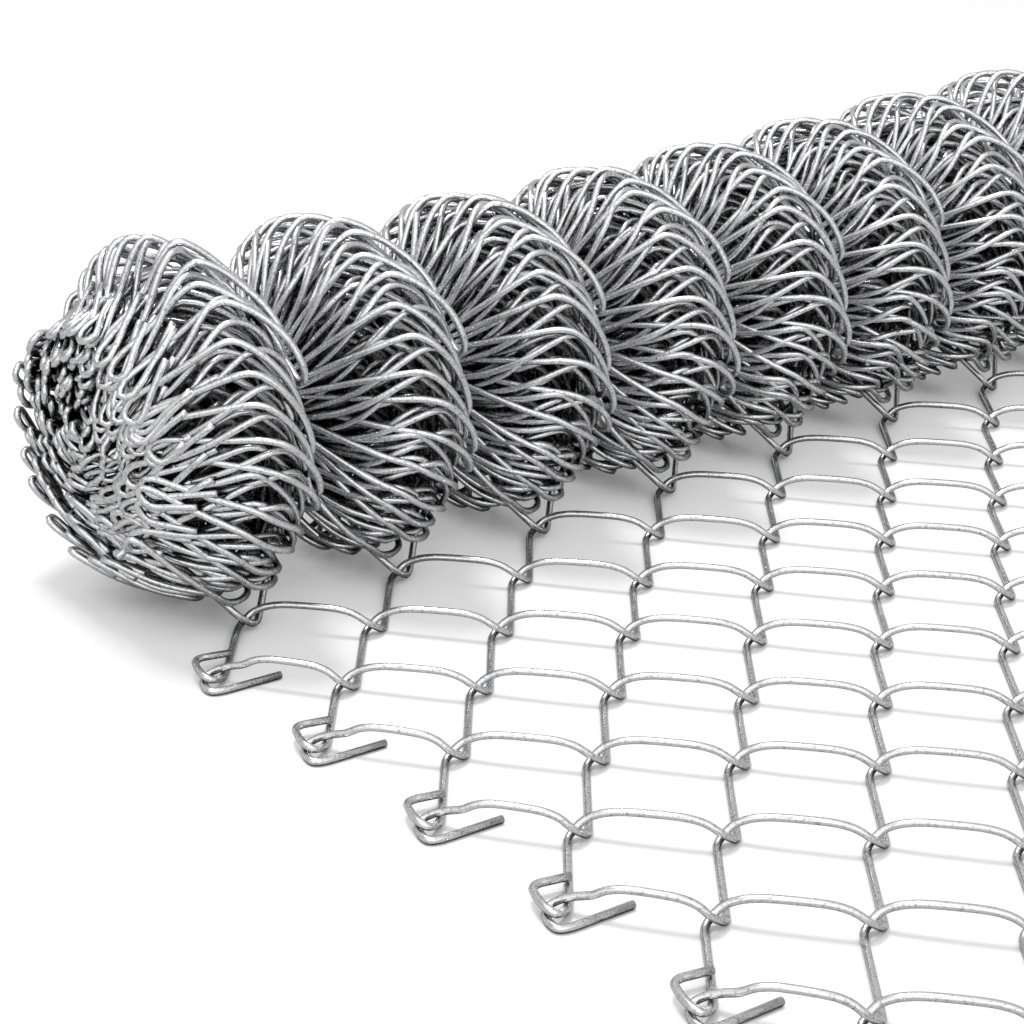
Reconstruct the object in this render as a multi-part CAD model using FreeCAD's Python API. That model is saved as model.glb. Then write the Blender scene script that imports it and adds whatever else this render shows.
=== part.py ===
import FreeCAD, Part
import math
import os

# Partly unrolled roll of chain link mesh. Millimetres, +Z up, +X along the roll,
# the free end of the mesh towards -Y, origin on the floor under the middle of the part.

# Wire and weave
wire = 2.8                     # wire thickness
pitch = 72.0                   # diamond length along a wire
row = 31.4                     # distance between rows of crossings
diamonds = 11                  # diamonds along one wire
hook_gap = 0.2                 # clearance between two hooked wires
crest_gap = 0.1                # clearance between two wires side by side on a crest of the roll
valley_gap = 0.4               # clearance between two wires side by side in a valley of the roll
lean = 1.2 * wire              # sideways lean of a corner
leg_drop = 1.5 * wire          # height of the upper legs over the lower legs at a corner
arch = 1.3 * wire              # rise of an upper leg between its corners

# Flat run
free_row = -8                  # row of the free end
foot_row = 5                   # row where the mesh turns up into the roll

# Roll
crest_radius = 76.0            # radius of the lobes where the roll starts
turn_step = 13.0               # loss of radius in one turn
lobe_depth = 24.0              # crest to valley
crest_place = 0.58             # place of the crest between two valleys, as a share of the pitch
crest_step = 30.0              # distance between two crests round the roll
roll_wires = 46                # wires in the roll
centre_lead = 40.0             # roll centre behind the foot row
foot_run = 0.25                # share of the first roll wire's leg that stays on the floor
wires_per_nest = 2             # roll wires in one file

# Knuckled edges
knuckle_reach = 15.0           # length of the bent-back loop
knuckle_curl = 2.0 * wire      # reach of the other wire's curl past the edge
tail_run = (24.0, -9.0)        # straight tail of the other wire
roll_tail = 7.0                # bent-back tail of a wire in the roll

half = 0.5 * wire
low = half
high = low + leg_drop
middle = low + wire + hook_gap
over = middle + wire + hook_gap
reach = 0.5 * (wire + hook_gap)
width = diamonds * pitch
left = -0.5 * width


def row_y(number):
    return number * row


centre_y = row_y(foot_row) + centre_lead
centre_z = crest_radius - turn_step * 0.9 + half


def unit(vector):
    length = vector.Length
    return FreeCAD.Vector(vector.x / length, vector.y / length, vector.z / length)


def carry(ring, step, normal, point):
    # Slides a section along the wire until it lies on the plane of the next corner.
    moved = []
    for corner in ring:
        distance = normal.dot(point - corner) / normal.dot(step)
        moved.append(corner + step * distance)
    return moved


def wire_solid(points):
    # A wire that follows the points, mitred at each corner.
    # Its square section has its corners on the round wire's surface.
    path = [FreeCAD.Vector(*point) for point in points]
    steps = [unit(path[i + 1] - path[i]) for i in range(len(path) - 1)]
    side = unit(steps[0].cross(FreeCAD.Vector(0, 0, 1)))
    up = unit(side.cross(steps[0]))
    ring = []
    for across, above in ((-half, 0), (0, -half), (half, 0), (0, half)):
        ring.append(path[0] + side * across + up * above)
    rings = [ring]
    for i, step in enumerate(steps):
        following = steps[min(i + 1, len(steps) - 1)]
        rings.append(carry(rings[-1], step, unit(step + following), path[i + 1]))
    faces = []
    for first, second in zip(rings, rings[1:]):
        for i in range(4):
            j = (i + 1) % 4
            corners = [first[i], first[j], second[j], second[i], first[i]]
            faces.append(Part.Face(Part.makePolygon(corners)))
    for ring in (rings[0], rings[-1]):
        faces.append(Part.Face(Part.makePolygon(ring + [ring[0]])))
    solid = Part.Solid(Part.Shell(faces))
    if solid.Volume < 0:
        solid.reverse()
    return solid


def near_corner(x, y):
    # The wire comes in on its upper leg and leaves on its lower leg.
    return [(x - lean, y - reach, high), (x + lean, y - reach, low)]


def far_corner(x, y):
    # The wire comes in on its lower leg and leaves on its upper leg.
    return [(x - lean, y + reach, low), (x + lean, y + reach, high)]


def arched_leg(start, end):
    # The middle of an upper leg.
    return ((start[0] + end[0]) / 2, (start[1] + end[1]) / 2, high + arch)


def loop_end(x, y, sign):
    # Bent-back end of a wire whose last leg lies low, from the tip of the tail to the corner.
    # The right edge is the left edge turned half round.
    tail = (x + sign * 0.8 * knuckle_reach, y + sign * 0.75 * knuckle_reach, middle + hook_gap)
    tip = (x + sign * 0.15 * knuckle_reach, y + sign * knuckle_reach, middle)
    corner = (x - sign * half, y - sign * hook_gap, middle)
    front = (x + sign * 2 * wire, y + sign * 0.4 * wire, low)
    return [tail, tip, corner, front]


def tail_end(x, y, sign):
    # Bent-under end of a wire whose last leg lies high, from the tip of the tail to the corner.
    tail = (x + sign * tail_run[0], y + sign * tail_run[1], low)
    under = (x - sign * knuckle_curl, y - sign * 0.9 * knuckle_curl, low)
    corner = (x - sign * knuckle_curl, y - sign * 0.1 * knuckle_curl, over)
    return [tail, under, corner]


def flat_wire(number):
    # One wire of the flat run, between its near row and its far row.
    near = row_y(number)
    far = row_y(number + 1)
    even = number % 2 == 0
    points = loop_end(left, near, 1) if even else tail_end(left, far, 1)
    for i in range(diamonds):
        x = left + i * pitch
        if even:
            corner = far_corner(x + pitch / 2, far)
            following = near_corner(x + pitch, near)
            points += corner
            points.append(arched_leg(corner[1], following[0]))
            if i < diamonds - 1:
                points += following
        else:
            corner = near_corner(x + pitch / 2, near)
            points.append(arched_leg(points[-1], corner[0]))
            points += corner
            if i < diamonds - 1:
                points += far_corner(x + pitch, far)
    last = tail_end(-left, near, -1) if even else loop_end(-left, far, -1)
    points += reversed(last)
    return wire_solid(points)


def roll_corners():
    # Angle and radius of each fold of the mesh round the roll, crest and valley in turn.
    # The angle starts under the roll and runs up the front.
    angle = math.atan2(centre_lead + reach, centre_z - middle)
    start = angle
    corners = []
    for i in range(roll_wires + 1):
        radius = crest_radius - turn_step * (angle - start) / (2 * math.pi)
        if i % 2 == 1:
            radius -= lobe_depth
        corners.append((angle, radius))
        angle += 0.5 * crest_step / (radius if i % 2 == 0 else radius + lobe_depth)
    return corners


def roll_point(x, corner, side, gap):
    # A point of the roll, moved to one side of its fold by half the space of two wires.
    angle, radius = corner
    angle += side * 0.5 * (wire + gap) / radius
    return (x, centre_y - radius * math.sin(angle), centre_z - radius * math.cos(angle))


def foot_corner(x, valley):
    # The first wire of the roll hooks into the flat run and passes under its upper leg.
    points = near_corner(x, row_y(foot_row))
    inner = roll_point(x + pitch / 2, valley, -1, valley_gap)
    first = points[-1]
    run = [first[i] + foot_run * (inner[i] - first[i]) for i in range(2)]
    return points + [(run[0], run[1], low + hook_gap)]


def roll_wire(number, corners):
    # One wire of the roll, in lobes between a crest fold and a valley fold.
    rising = number % 2 == 1
    crest = corners[number + 1 if rising else number]
    valley = corners[number if rising else number + 1]
    crest_side = -1 if rising else 1
    tail = roll_point(left + roll_tail, (valley[0], valley[1] - 1.2 * wire), -crest_side, valley_gap)
    points = [tail]
    for i in range(diamonds + 1):
        x = left + i * pitch
        points.append(roll_point(x, valley, -crest_side, valley_gap))
        if i < diamonds and number == 0:
            points += foot_corner(x + pitch / 2, valley)
        elif i < diamonds:
            points.append(roll_point(x + crest_place * pitch, crest, crest_side, crest_gap))
    points.append((-tail[0], tail[1], tail[2]))
    return wire_solid(points)


os.makedirs("parts", exist_ok=True)

nodes = {}
for number in range(free_row, foot_row):
    nodes["flat_wire_%02d" % (number - free_row + 1)] = flat_wire(number)

folds = roll_corners()
for nest in range(roll_wires // wires_per_nest):
    first = nest * wires_per_nest
    wires = [roll_wire(first + i, folds) for i in range(wires_per_nest)]
    nodes["roll_nest_%02d" % (nest + 1)] = Part.makeCompound(wires)

# The part stands on the floor with its middle over the origin.
box = Part.makeCompound(list(nodes.values())).BoundBox
for name, shape in nodes.items():
    shape.translate(FreeCAD.Vector(-box.Center.x, -box.Center.y, -box.ZMin))
    shape.exportStep("parts/%s.step" % name)
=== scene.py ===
import math
import random

import bpy
import numpy as np
from mathutils import Matrix, Vector


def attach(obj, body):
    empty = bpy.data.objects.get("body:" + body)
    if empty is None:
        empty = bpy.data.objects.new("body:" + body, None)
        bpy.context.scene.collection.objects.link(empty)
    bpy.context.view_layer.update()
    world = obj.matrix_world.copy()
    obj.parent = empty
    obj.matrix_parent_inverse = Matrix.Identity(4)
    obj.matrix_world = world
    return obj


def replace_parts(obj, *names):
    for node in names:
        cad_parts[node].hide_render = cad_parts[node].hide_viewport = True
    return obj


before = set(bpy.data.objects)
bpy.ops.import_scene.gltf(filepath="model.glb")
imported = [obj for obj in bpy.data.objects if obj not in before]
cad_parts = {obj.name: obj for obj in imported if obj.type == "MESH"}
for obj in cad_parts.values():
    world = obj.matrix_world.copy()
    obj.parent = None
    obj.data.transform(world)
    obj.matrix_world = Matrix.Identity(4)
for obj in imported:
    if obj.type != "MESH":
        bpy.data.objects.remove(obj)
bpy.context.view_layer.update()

# Partly unrolled roll of chain link mesh.
# Lengths are in millimetres until a mesh is made. Places along a wire are shares of the pitch.
# Angles round the roll start under it, run up its front and over its top, and keep growing from turn to turn.
# Their ranges are in degrees.
MM = 0.001
chance = random.Random(7)

# Wire and weave
wire = 2.8                         # wire thickness
pitch = 72.0                       # diamond length along a wire
row = 31.4                         # distance between rows of crossings
diamonds = 11                      # diamonds along one wire
free_row = -8                      # row of the free end
foot_row = 5                       # row where the mesh turns up into the roll
middle_y = -5.95                   # place of row 0
hook_gap = 0.2                     # clearance between two hooked wires
leg_drop = 4.7                     # height of the upper legs over the lower legs at a corner
lean = 3.4                         # sideways lean of a corner
arch = 4.2                         # rise of an upper leg between its corners
arch_lean = 0.25                   # how much more it rises towards the near corner
arch_points = 7                    # points along an upper leg
flat_bend = 3.0                    # rounding of the corners in the flat run
foot_bend = 4.0                    # rounding of the corners at the foot of the roll
bend_steps = 3                     # steps in a rounded corner
flat_sides = 8                     # sides of a wire in the flat run

# Knuckled edge: the paths of both wire ends, from the tip inwards, as (along, across, height)
loop_shape = [
    (15.6, 11.8, 4.6),
    (4.8, 14.8, 4.6),
    (1.6, 13.8, 4.7),
    (-1.1, 8.2, 4.9),
    (-2.6, 2.0, 5.0),
    (-1.3, -1.2, 4.2),
    (3.8, 0.0, 2.6),
    (9.1, 5.1, 1.5),
]
tail_shape = [
    (23.9, -8.2, 1.4),
    (0.3, -6.0, 1.4),
    (-3.8, -4.4, 1.4),
    (-3.2, 0.5, 1.4),
    (-1.6, 3.7, 1.5),
    (1.4, 6.0, 2.0),
    (3.2, 5.7, 3.0),
    (5.5, 3.8, 4.6),
    (8.3, -0.1, 6.4),
    (10.3, -3.8, 7.6),
]

# Foot of the roll: distance behind the foot row, and height
foot_leg = (14.0, 25.0)            # middle of the leg between a far corner and the foot row
foot_corner_in = (26.0, 31.0)      # where a leg comes up into the far corner
foot_corner_out = (27.0, 34.0)     # where it leaves that corner

# Rings of the roll
crest_centre = (193.0, 71.0)       # y and z of the middle of the crests
valley_centre = (203.0, 71.0)      # y and z of the middle of the valleys
crest_radius = 66.0
valley_radius = 46.0
crest_turn_step = 12.5             # loss of crest radius in one turn
valley_turn_step = 9.0             # loss of valley radius in one turn
full_turns = 0.75                  # turns before the radius gets smaller
centre_fade = 30.0                 # loss of valley radius at which both rings share one middle
front_swell = 4.5                  # crests stand out more high on the front
swell_angle = 140                  # where they stand out most
swell_spread = 45                  # how wide that is
least_radius = 1.0                 # no point of a wire lies nearer to the middle
least_arm = 10.0                   # radius below which a shift round the roll no longer turns faster
first_angle = math.radians(34)     # angle of the first wire
wire_step = 6.0                    # distance between two wires on the crests
core_radius = 4.0                  # valley radius of the last wire

# Lobes of the roll
crest_start = 0.42                 # a leg reaches the crest
crest_end = 0.62                   # a leg leaves the crest
hook_place = 0.66                  # a hooked leg turns back
fold_depth = 13.0                  # valleys between two lobes are deeper than those at the ends
fold_share = 2.2                   # how fast that depth is lost towards the crest
top_range = (140, 180, 240, 290)   # the top of the roll: begins, is full, begins to end, has ended
top_fold = 12.0                    # more depth of the valleys there
top_sag = 0.35                     # lobes fall off there behind the crest
near_swell = 3.5                   # the first lobes stand higher there
near_range = (1.2, 2.2)            # lobes over which that is lost
far_swell = 7.0                    # the last lobes stand higher there
far_range = (4, 8)                 # lobes over which that is gained
crest_back = 0.07                  # crests lie nearer to the valley before them
back_range = (100, 160)            # angles over which that sets in
back_place = 0.40
back_spread = 0.16
lobe_drift = 20.0                  # the lobes of the middle lie nearer to the left end
drift_range = (40, 110)            # angles over which that sets in
drift_skew = 1.6                   # moves the most drifted lobe to the right
hang_least = 0.40                  # how far the hooked leg ends run on low on the front
hang_more = 1.0                    # how much farther they run on high on the front
hang_range = (65, 130)
leg_fall = -17.0                   # shift of a leg round the roll, low on the front
leg_climb = 12.0                   # the same, high on the roll
climb_range = (55, 135)
family_cross = 16.0                # more climb of the rising legs, so that they cross the hooked ones
cross_loss = 0.75                  # share of it that is lost high on the roll
cross_range = (80, 130)

# Near end of the roll
end_rise = 0.25                    # rise of the first lobe's crest, over the top
rise_place = 0.40
rise_spread = 0.11
end_fall = 9.0                     # fall from that crest to the end face, over the top and behind
fall_range = (140, 190, 235, 275)
fall_place = 0.22
fall_spread = 0.14
end_bulge = 7.0                    # the end face is wider behind and below
bulge_range = (245, 300)
bulge_loss = 0.5                   # share of that which the inner turns lack
bulge_loss_range = (360, 420)
bulge_places = (0.10, 0.40)        # places over which it is lost

# Chance in the roll, as limits
slide_limits = (-4.0, 3.0)         # shift of a wire along the roll
swell_limits = (-2.0, 1.0)         # shift of a wire outwards
hooked_end_limits = (0.0, 2.5)     # sink of a hooked wire at the ends
rising_end_limits = (5.0, 10.0)    # sink of a rising wire at the ends
lift_limits = (-2.2, 2.2)          # shift of a lobe round the roll

# Hairpin ends
tail_limits = (15, 26)             # length of the bent-back tail
cross_limits = (0, 6)              # how far the tail crosses its own leg
bow_limits = (6.0, 8.5)            # width of the bend
bow_reach = 4.2                    # reach of the bend past the leg's end
tail_inset = 2.7                   # the middle of the tail lies beside its own leg
tail_inset_share = 0.3             # share of the crossing that is reached there
tail_out = 1.7                     # the tail lies outside its own leg, or inside it on the underside
bow_out_share = 0.6                # share of that at the bend
underside = -0.4                   # upward part of the outward direction where the underside begins
underside_tail = 0.5               # share of the tail's length there

# Detail of the roll's meshes
roll_pieces = 7
outer_sides = 6                    # sides of a wire in the outer half of the pieces
inner_sides = 4                    # sides of a wire in the inner half
outer_steps = 3                    # steps between two points of a wire in the first turn
inner_steps = 2                    # the same in the other turns

# Shapes of one lobe: place, shift round the roll, share of the lobe's height, sink
hooked_lobe = [
    (0.00, 4.0, 0.00, 0.0),
    (0.11, 4.0, 0.30, 0.0),
    (0.22, 4.0, 0.60, 0.0),
    (0.33, 4.0, 0.87, 0.0),
    (0.42, 2.0, 1.02, 0.0),
    (0.50, -3.0, 1.06, 0.0),
    (0.57, -9.0, 1.04, 0.0),
    (0.62, -15.0, 1.00, 0.0),
    (0.65, -21.0, 0.93, 0.0),
    (0.66, -22.0, 0.80, 2.0),
    (0.67, -13.0, 0.68, 4.0),
    (0.71, -1.0, 0.48, 5.0),
    (0.82, 3.0, 0.24, 3.0),
    (0.92, 4.0, 0.06, 1.0),
]
rising_lobe = [
    (0.00, -3.0, 0.00, 4.0),
    (0.11, -4.0, 0.30, 3.0),
    (0.22, -2.5, 0.60, 2.5),
    (0.34, 0.0, 0.88, 2.0),
    (0.43, 0.5, 1.00, 2.0),
    (0.51, -0.5, 1.02, 2.5),
    (0.58, -6.0, 0.98, 3.0),
    (0.62, -13.0, 0.90, 4.0),
    (0.66, -17.0, 0.72, 6.0),
    (0.84, -9.5, 0.26, 6.0),
]

# Floor, light and camera, in metres
floor_size = 30
key_spot = Vector((-0.35, 0.60, 1.95))
key_aim = Vector((0, 0, 0))
bright_side = (-0.54, -0.56, 0.63)  # direction that the wires mirror brightest
camera_spot = Vector((-0.79645, -0.50928, 0.3945))
camera_aim = Vector((-0.21334, 0.17109, 0.0035))
camera_roll = math.radians(1.774)

# Derived sizes
half = 0.5 * wire
low = half
high = low + leg_drop
reach = 0.5 * (wire + hook_gap)
left = -0.5 * diamonds * pitch


def row_y(number):
    return middle_y + number * row


def ramp(value, start, end):
    # Rises smoothly from 0 at start to 1 at end.
    t = min(max((value - start) / (end - start), 0.0), 1.0)
    return t * t * (3 - 2 * t)


def between(value, marks):
    # Rises from 0 to 1 over the first two marks and falls back over the last two.
    return ramp(value, marks[0], marks[1]) * (1 - ramp(value, marks[2], marks[3]))


def bell(value, middle, spread):
    return math.exp(-((value - middle) / spread) ** 2)


# Paths and tubes

def rounded(points, radius):
    # Rounds the corners of a path.
    path = [np.array(point, float) for point in points]
    result = [path[0]]
    for before, corner, after in zip(path, path[1:], path[2:]):
        back = before - corner
        on = after - corner
        back_length = np.linalg.norm(back)
        on_length = np.linalg.norm(on)
        cut = min(radius, 0.45 * back_length, 0.45 * on_length)
        start = corner + back * (cut / back_length)
        end = corner + on * (cut / on_length)
        for i in range(bend_steps + 1):
            t = i / bend_steps
            result.append((1 - t) ** 2 * start + 2 * t * (1 - t) * corner + t * t * end)
    result.append(path[-1])
    return np.array(result)


def flowing(points, steps):
    # A smooth curve through all the points.
    path = np.array(points, float)
    ends = np.vstack([2 * path[0] - path[1], path, 2 * path[-1] - path[-2]])
    t = (np.arange(steps) / steps)[:, None]
    pieces = []
    for i in range(len(path) - 1):
        a, b, c, d = ends[i:i + 4]
        slope = c - a
        bend = 2 * a - 5 * b + 4 * c - d
        twist = 3 * b - a - 3 * c + d
        pieces.append(0.5 * (2 * b + slope * t + bend * t * t + twist * t ** 3))
    pieces.append(path[-1:])
    return np.vstack(pieces)


def tube(path, sides):
    # Vertices and faces of a round wire along a path.
    steps = np.diff(path, axis=0)
    steps /= np.linalg.norm(steps, axis=1)[:, None]
    tangents = np.vstack([steps[:1], steps[:-1] + steps[1:], steps[-1:]])
    tangents /= np.linalg.norm(tangents, axis=1)[:, None]
    normal = np.cross(tangents[0], (0.0, 0.0, 1.0))
    if np.linalg.norm(normal) < 0.1:
        normal = np.cross(tangents[0], (0.0, 1.0, 0.0))
    normals = []
    for tangent in tangents:
        normal = normal - tangent * normal.dot(tangent)
        normal /= np.linalg.norm(normal)
        normals.append(normal)
    normals = np.array(normals)
    binormals = np.cross(tangents, normals)
    angles = 2 * math.pi * np.arange(sides) / sides
    across = np.cos(angles)[None, :, None] * normals[:, None]
    above = np.sin(angles)[None, :, None] * binormals[:, None]
    vertices = (path[:, None] + half * (across + above)).reshape(-1, 3)
    i = np.arange(len(path) - 1)[:, None] * sides
    j = np.arange(sides)[None, :]
    k = (j + 1) % sides
    quads = np.stack([i + j, i + k, i + sides + k, i + sides + j], axis=-1).reshape(-1, 4)
    caps = [list(range(sides))[::-1], list(range(len(vertices) - sides, len(vertices)))]
    return vertices, quads.tolist() + caps


def wires_object(name, paths, sides, material):
    # One object of several wires.
    vertices = []
    faces = []
    count = 0
    for path in paths:
        points, polygons = tube(path, sides)
        vertices.append(points)
        faces += [[index + count for index in polygon] for polygon in polygons]
        count += len(points)
    mesh = bpy.data.meshes.new(name)
    mesh.from_pydata((np.vstack(vertices) * MM).tolist(), [], faces)
    mesh.polygons.foreach_set("use_smooth", [True] * len(mesh.polygons))
    mesh.materials.append(material)
    thing = bpy.data.objects.new(name, mesh)
    bpy.context.collection.objects.link(thing)
    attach(thing, "root")
    return thing


# Flat run

def near_corner(x, y):
    # The upper leg slants down past the crossing and turns back as the lower leg.
    return [(x - lean, y - reach, high), (x + lean, y - reach, low)]


def far_corner(x, y):
    # The lower leg slants up past the crossing and turns back as the upper leg.
    return [(x - lean, y + reach, low), (x + lean, y + reach, high)]


def arched_leg(start, end):
    # Points along an upper leg. It rises soon, stays high and drops close to its ends.
    points = []
    for i in range(1, arch_points + 1):
        t = i / (arch_points + 1)
        rise = arch * (1 - (2 * t - 1) ** 4) * (1 + arch_lean * t)
        x, y, z = (start[k] + t * (end[k] - start[k]) for k in range(3))
        points.append((x, y, z + rise))
    return points


def loop_end(x, y, sign):
    # A wire end that hooks the other wire and bends back over its own lower leg.
    # The right edge is the left edge turned half round.
    return [(x + sign * along, y + sign * across, z) for along, across, z in loop_shape]


def tail_end(x, y, sign):
    # The other wire's end: it dives into the loop, passes under it and runs back as a straight tail.
    return [(x + sign * along, y + sign * across, z) for along, across, z in tail_shape]


def flat_path(number):
    # One wire of the flat run, between its near row and its far row.
    near = row_y(number)
    far = row_y(number + 1)
    even = number % 2 == 0
    points = loop_end(left, near, 1) if even else tail_end(left, far, 1)
    last = tail_end(-left, near, -1) if even else loop_end(-left, far, -1)
    for i in range(diamonds):
        x = left + i * pitch
        if even:
            corner = far_corner(x + pitch / 2, far)
            following = near_corner(x + pitch, near) if i < diamonds - 1 else last[::-1]
            points += corner
            points += arched_leg(corner[-1], following[0])
            points += following
        else:
            corner = near_corner(x + pitch / 2, near)
            points += arched_leg(points[-1], corner[0])
            points += corner
            points += far_corner(x + pitch, far) if i < diamonds - 1 else last[::-1]
    return rounded(points, flat_bend)


# Roll

def foot_path():
    # The last wire on the floor: it hooks the flat run and its other corners stand up into the roll.
    y = row_y(foot_row)
    points = []
    for i in range(diamonds + 1):
        x = left + i * pitch
        points.append((x - lean, y + foot_corner_in[0], foot_corner_in[1]))
        points.append((x + lean, y + foot_corner_out[0], foot_corner_out[1]))
        if i < diamonds:
            points.append((x + pitch / 4, y + foot_leg[0], foot_leg[1]))
            points += near_corner(x + pitch / 2, y)
    return rounded(points, foot_bend)


def roll_radius(angle):
    # Radius of the crest and valley rings.
    turns = (angle - first_angle) / (2 * math.pi)
    inward = max(0.0, turns - full_turns)
    full = front_swell * bell(angle, math.radians(swell_angle), math.radians(swell_spread))
    return crest_radius + full - crest_turn_step * inward, valley_radius - valley_turn_step * inward


def ring_point(x, angle, side, share, sink):
    # A point of the roll: side is the shift round the roll, share runs from valley 0 to crest 1.
    crest, valley = roll_radius(angle)
    fade = max(0.0, 1 - (valley_radius - valley) / centre_fade)
    centre_y = valley_centre[0] + share * fade * (crest_centre[0] - valley_centre[0])
    centre_z = valley_centre[1] + share * fade * (crest_centre[1] - valley_centre[1])
    radius = max(valley + share * (crest - valley) - sink, least_radius)
    turn = angle + side / max(radius, least_arm)
    return (x, middle_y + centre_y - radius * math.sin(turn), centre_z - radius * math.cos(turn))


def hang(height):
    # How far the hooked leg ends run on round the roll.
    return hang_least + hang_more * ramp(height, *hang_range)


def slant(along, height, hooked):
    # Shift round the roll that makes the legs climb high on the roll and fall low on it.
    start, end = climb_range
    climb = leg_fall + (leg_climb - leg_fall) * min(max((height - start) / (end - start), 0.0), 1.0)
    if not hooked:
        climb += family_cross * (1 - cross_loss * ramp(height, *cross_range))
    if along < crest_start:
        return climb * (along / crest_start - 0.5)
    return climb * (0.5 - max(0.0, along - crest_end) / (1 - crest_end))


def drawn_back(along, height):
    # High on the roll the crest lies nearer to the valley before it.
    return along - crest_back * ramp(height, *back_range) * bell(along, back_place, back_spread)


def fold_drift(place, height):
    # Over the top of the roll the lobes of its middle lie nearer to the left end
    # than the diamonds on the floor.
    part = min(max(place, 0.0) / diamonds, 1.0)
    return -lobe_drift * ramp(height, *drift_range) * math.sin(math.pi * part ** drift_skew) ** 2


def roll_path(number, angle, steps):
    # One wire of the roll, in lobes from the near end to the far end.
    hooked = number % 2 == 1
    lobe = hooked_lobe if hooked else rising_lobe
    height = math.degrees(angle)
    run = hang(height) if hooked else 1.0
    slide = chance.uniform(*slide_limits)
    swell = chance.uniform(*swell_limits)
    end_sink = chance.uniform(*(hooked_end_limits if hooked else rising_end_limits))
    top = between(height, top_range)
    fall = end_fall * between(height, fall_range)
    bulge = end_bulge * ramp(height, *bulge_range) * (1 - bulge_loss * ramp(height, *bulge_loss_range))
    points = []
    for i in range(diamonds + 1):
        lift = chance.uniform(*lift_limits)
        for along, side, share, sink in lobe:
            place = i + along
            at_end = (i == 0 and along < 0.5) or (i == diamonds - 1 and along > 0.5) or i == diamonds
            x = left + slide + fold_drift(place, height) + (i + drawn_back(along, height)) * pitch
            shift = lift + slant(along, height, hooked) + (side * run if side < 0 else side)
            fold = end_sink if at_end else fold_depth + top_fold * top
            fuller = near_swell * (1 - ramp(place, *near_range)) + far_swell * ramp(place, *far_range)
            sunk = sink - swell + max(0.0, 1 - fold_share * share) * fold - fuller * top * share
            level = share - top_sag * top * ramp(along, crest_start, hook_place) * share
            if i == 0:
                level += end_rise * top * bell(along, rise_place, rise_spread)
                sunk += fall * bell(along, fall_place, fall_spread)
                sunk -= bulge * (1 - ramp(along, *bulge_places))
            points.append(ring_point(x, angle, shift, level, sunk))
            if i == diamonds:
                break
    return flowing(hairpin(points), steps)


def hairpin(points):
    # Bends both ends of a roll wire back, with the tails crossing over the legs.
    result = list(points)
    for end in (0, -1):
        inner = np.array(result[end], float)
        after = np.array(result[1 if end == 0 else -2], float)
        along = after - inner
        along /= np.linalg.norm(along)
        radial = inner - np.array([inner[0], middle_y + valley_centre[0], valley_centre[1]])
        radial /= max(np.linalg.norm(radial), 1e-6)
        rising = np.array([0.0, radial[2], -radial[1]])
        under = radial[2] <= underside
        length = chance.uniform(*tail_limits) * (underside_tail if under else 1)
        cross = chance.uniform(*cross_limits)
        width = chance.uniform(*bow_limits)
        out = radial * (-tail_out if under else tail_out)
        tail_tip = inner + along * length + rising * cross + out
        over_leg = inner + along * 0.5 * length + rising * (tail_inset_share * cross - tail_inset) + out
        bow = inner - rising * width + bow_out_share * out
        bow_tip = inner - rising * 0.5 * width - along * bow_reach
        tail = [tuple(point) for point in (tail_tip, over_leg, bow, bow_tip)]
        result = tail + result if end == 0 else result + tail[::-1]
    return result


def roll_angles():
    # Angles of all wires of the roll, as close as the crests or the valleys let them lie.
    angle = first_angle
    angles = []
    while roll_radius(angle)[1] > core_radius:
        angles.append(angle)
        crest, valley = roll_radius(angle)
        angle += max(wire_step / crest, wire / valley)
    return angles


# Materials

def zinc_material():
    # Dull silver zinc with fine specks, and painted shade that darkens it deep between the wires.
    material = bpy.data.materials.new("galvanised_wire")
    material.use_nodes = True
    tree = material.node_tree
    shader = tree.nodes["Principled BSDF"]
    shader.inputs["Metallic"].default_value = 0.92
    place = tree.nodes.new("ShaderNodeTexCoord")
    speckle = tree.nodes.new("ShaderNodeTexNoise")
    speckle.inputs["Scale"].default_value = 900.0
    speckle.inputs["Detail"].default_value = 3.0
    tree.links.new(place.outputs["Object"], speckle.inputs["Vector"])
    tone = tree.nodes.new("ShaderNodeValToRGB")
    tone.color_ramp.elements[0].position = 0.28
    tone.color_ramp.elements[0].color = (0.45, 0.45, 0.46, 1)
    tone.color_ramp.elements[1].position = 0.48
    tone.color_ramp.elements[1].color = (0.86, 0.86, 0.87, 1)
    tree.links.new(speckle.outputs["Fac"], tone.inputs["Fac"])
    # Painted shade: ambient occlusion darkens the base colour where other wires lie close, down to near black
    # deep in the roll.
    painted_shade_ao = tree.nodes.new("ShaderNodeAmbientOcclusion")
    painted_shade_ao.inputs["Distance"].default_value = 0.026
    painted_shade_ao.samples = 6
    shade = tree.nodes.new("ShaderNodeMapRange")
    shade.inputs["From Min"].default_value = 0.15
    shade.inputs["From Max"].default_value = 0.39
    shade.inputs["To Min"].default_value = 0.04
    shade.inputs["To Max"].default_value = 1.0
    tree.links.new(painted_shade_ao.outputs["AO"], shade.inputs["Value"])
    colour = tree.nodes.new("ShaderNodeMix")
    colour.data_type = "RGBA"
    colour.blend_type = "MULTIPLY"
    colour.inputs["Factor"].default_value = 1.0
    tree.links.new(tone.outputs["Color"], colour.inputs["A"])
    tree.links.new(shade.outputs["Result"], colour.inputs["B"])
    tree.links.new(colour.outputs["Result"], shader.inputs["Base Color"])
    rough = tree.nodes.new("ShaderNodeMapRange")
    rough.inputs["To Min"].default_value = 0.33
    rough.inputs["To Max"].default_value = 0.20
    tree.links.new(speckle.outputs["Fac"], rough.inputs["Value"])
    tree.links.new(rough.outputs["Result"], shader.inputs["Roughness"])
    bump = tree.nodes.new("ShaderNodeBump")
    bump.inputs["Strength"].default_value = 0.2
    bump.inputs["Distance"].default_value = 0.0002
    tree.links.new(speckle.outputs["Fac"], bump.inputs["Height"])
    tree.links.new(bump.outputs["Normal"], shader.inputs["Normal"])
    return material


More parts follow.
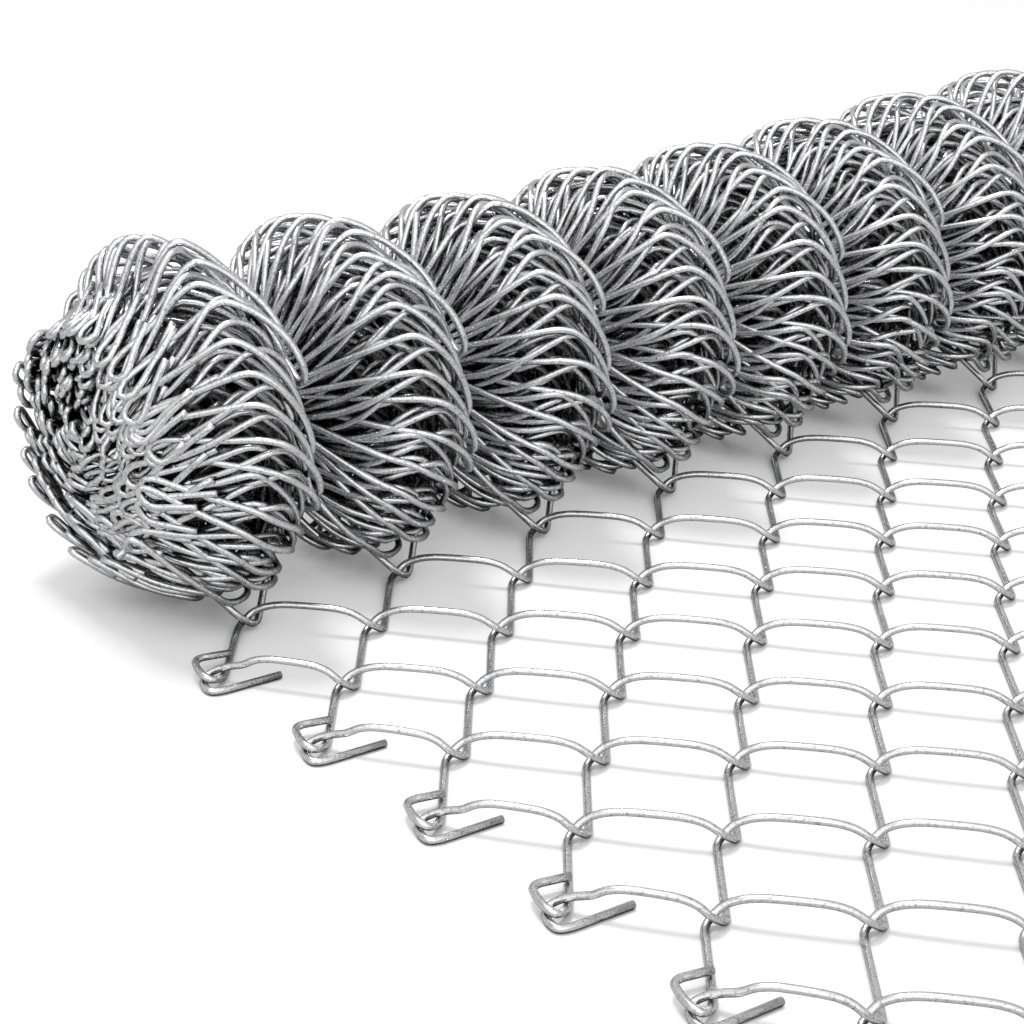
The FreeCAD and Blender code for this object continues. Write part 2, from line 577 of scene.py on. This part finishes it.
def floor_material():
    # White to the eye, with pale shadows and a darker line where something stands on it. The white is a
    # painted glow seen only by the camera, and the darker line is a painted shadow.
    material = bpy.data.materials.new("floor")
    material.use_nodes = True
    tree = material.node_tree
    shader = tree.nodes["Principled BSDF"]
    shader.inputs["Roughness"].default_value = 0.9
    shader.inputs["Base Color"].default_value = (0.56, 0.56, 0.56, 1)
    shader.inputs["Emission Color"].default_value = (1, 1, 1, 1)
    # Painted shadow: ambient occlusion dims the floor's glow where wires stand close above it.
    near = tree.nodes.new("ShaderNodeAmbientOcclusion")
    near.inputs["Distance"].default_value = 0.04
    near.samples = 6
    shade = tree.nodes.new("ShaderNodeMapRange")
    shade.inputs["From Min"].default_value = 0.15
    shade.inputs["From Max"].default_value = 0.55
    shade.inputs["To Min"].default_value = 0.0
    shade.inputs["To Max"].default_value = 0.50
    tree.links.new(near.outputs["AO"], shade.inputs["Value"])
    # Painted light: the floor glows only for camera rays.
    ray = tree.nodes.new("ShaderNodeLightPath")
    painted_glow = tree.nodes.new("ShaderNodeMath")
    painted_glow.operation = "MULTIPLY"
    tree.links.new(shade.outputs["Result"], painted_glow.inputs[0])
    tree.links.new(ray.outputs["Is Camera Ray"], painted_glow.inputs[1])
    tree.links.new(painted_glow.outputs["Value"], shader.inputs["Emission Strength"])
    return material


def studio_world():
    # Soft white light. What the wires mirror is bright towards the high front and dimmer elsewhere.
    # Past the edge of the floor the eye sees white.
    world = bpy.data.worlds.new("studio")
    bpy.context.scene.world = world
    world.use_nodes = True
    tree = world.node_tree
    background = tree.nodes["Background"]
    place = tree.nodes.new("ShaderNodeTexCoord")
    facing = tree.nodes.new("ShaderNodeVectorMath")
    facing.operation = "DOT_PRODUCT"
    facing.inputs[1].default_value = bright_side
    tree.links.new(place.outputs["Generated"], facing.inputs[0])
    band = tree.nodes.new("ShaderNodeValToRGB")
    band.color_ramp.elements[0].position = 0.35
    band.color_ramp.elements[0].color = (0.50, 0.50, 0.50, 1)
    band.color_ramp.elements[1].position = 0.92
    band.color_ramp.elements[1].color = (1.30, 1.30, 1.30, 1)
    tree.links.new(facing.outputs["Value"], band.inputs["Fac"])
    ray = tree.nodes.new("ShaderNodeLightPath")
    tone = tree.nodes.new("ShaderNodeMix")
    tone.data_type = "RGBA"
    tone.inputs["A"].default_value = (0.5, 0.5, 0.5, 1)
    tree.links.new(ray.outputs["Is Glossy Ray"], tone.inputs["Factor"])
    tree.links.new(band.outputs["Color"], tone.inputs["B"])
    seen = tree.nodes.new("ShaderNodeMix")
    seen.data_type = "RGBA"
    seen.inputs["B"].default_value = (0.95, 0.95, 0.95, 1)
    tree.links.new(ray.outputs["Is Camera Ray"], seen.inputs["Factor"])
    tree.links.new(tone.outputs["Result"], seen.inputs["A"])
    tree.links.new(seen.outputs["Result"], background.inputs["Color"])


# The object

zinc = zinc_material()
for number in range(free_row, foot_row):
    node = "flat_wire_%02d" % (number - free_row + 1)
    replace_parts(wires_object("mesh_" + node, [flat_path(number)], flat_sides, zinc), node)

roll_paths = [foot_path()]
for number, angle in enumerate(roll_angles()):
    steps = outer_steps if angle < first_angle + 2 * math.pi else inner_steps
    roll_paths.append(roll_path(number, angle, steps))
nests = sorted(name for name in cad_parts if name.startswith("roll_nest"))
wires_per_piece = math.ceil(len(roll_paths) / roll_pieces)
for i in range(roll_pieces):
    paths = roll_paths[i * wires_per_piece:(i + 1) * wires_per_piece]
    sides = outer_sides if 2 * i < roll_pieces else inner_sides
    thing = wires_object("roll_wires_%d" % (i + 1), paths, sides, zinc)
    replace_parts(thing, *nests[i * len(nests) // roll_pieces:(i + 1) * len(nests) // roll_pieces])

# Floor, light and camera

bpy.ops.mesh.primitive_plane_add(size=floor_size, location=(0, 0, 0))
floor = bpy.context.object
floor.name = "floor"
floor.data.materials.append(floor_material())

studio_world()

lamp = bpy.data.lights.new("key", "AREA")
lamp.size = 0.4
lamp.energy = 24
lamp.specular_factor = 0.25
key = bpy.data.objects.new("key", lamp)
bpy.context.collection.objects.link(key)
key.location = key_spot
key.rotation_euler = (key_aim - key_spot).to_track_quat("-Z", "Y").to_euler()

camera = bpy.data.objects.new("camera", bpy.data.cameras.new("camera"))
bpy.context.collection.objects.link(camera)
camera.data.lens = 81.9
camera.data.sensor_width = 36.0
camera.data.clip_end = 100.0
look = (camera_aim - camera_spot).to_track_quat("-Z", "Y").to_matrix().to_4x4()
camera.matrix_world = Matrix.Translation(camera_spot) @ look @ Matrix.Rotation(camera_roll, 4, "Z")
bpy.context.scene.camera = camera
bpy.context.scene.view_settings.view_transform = "Standard"
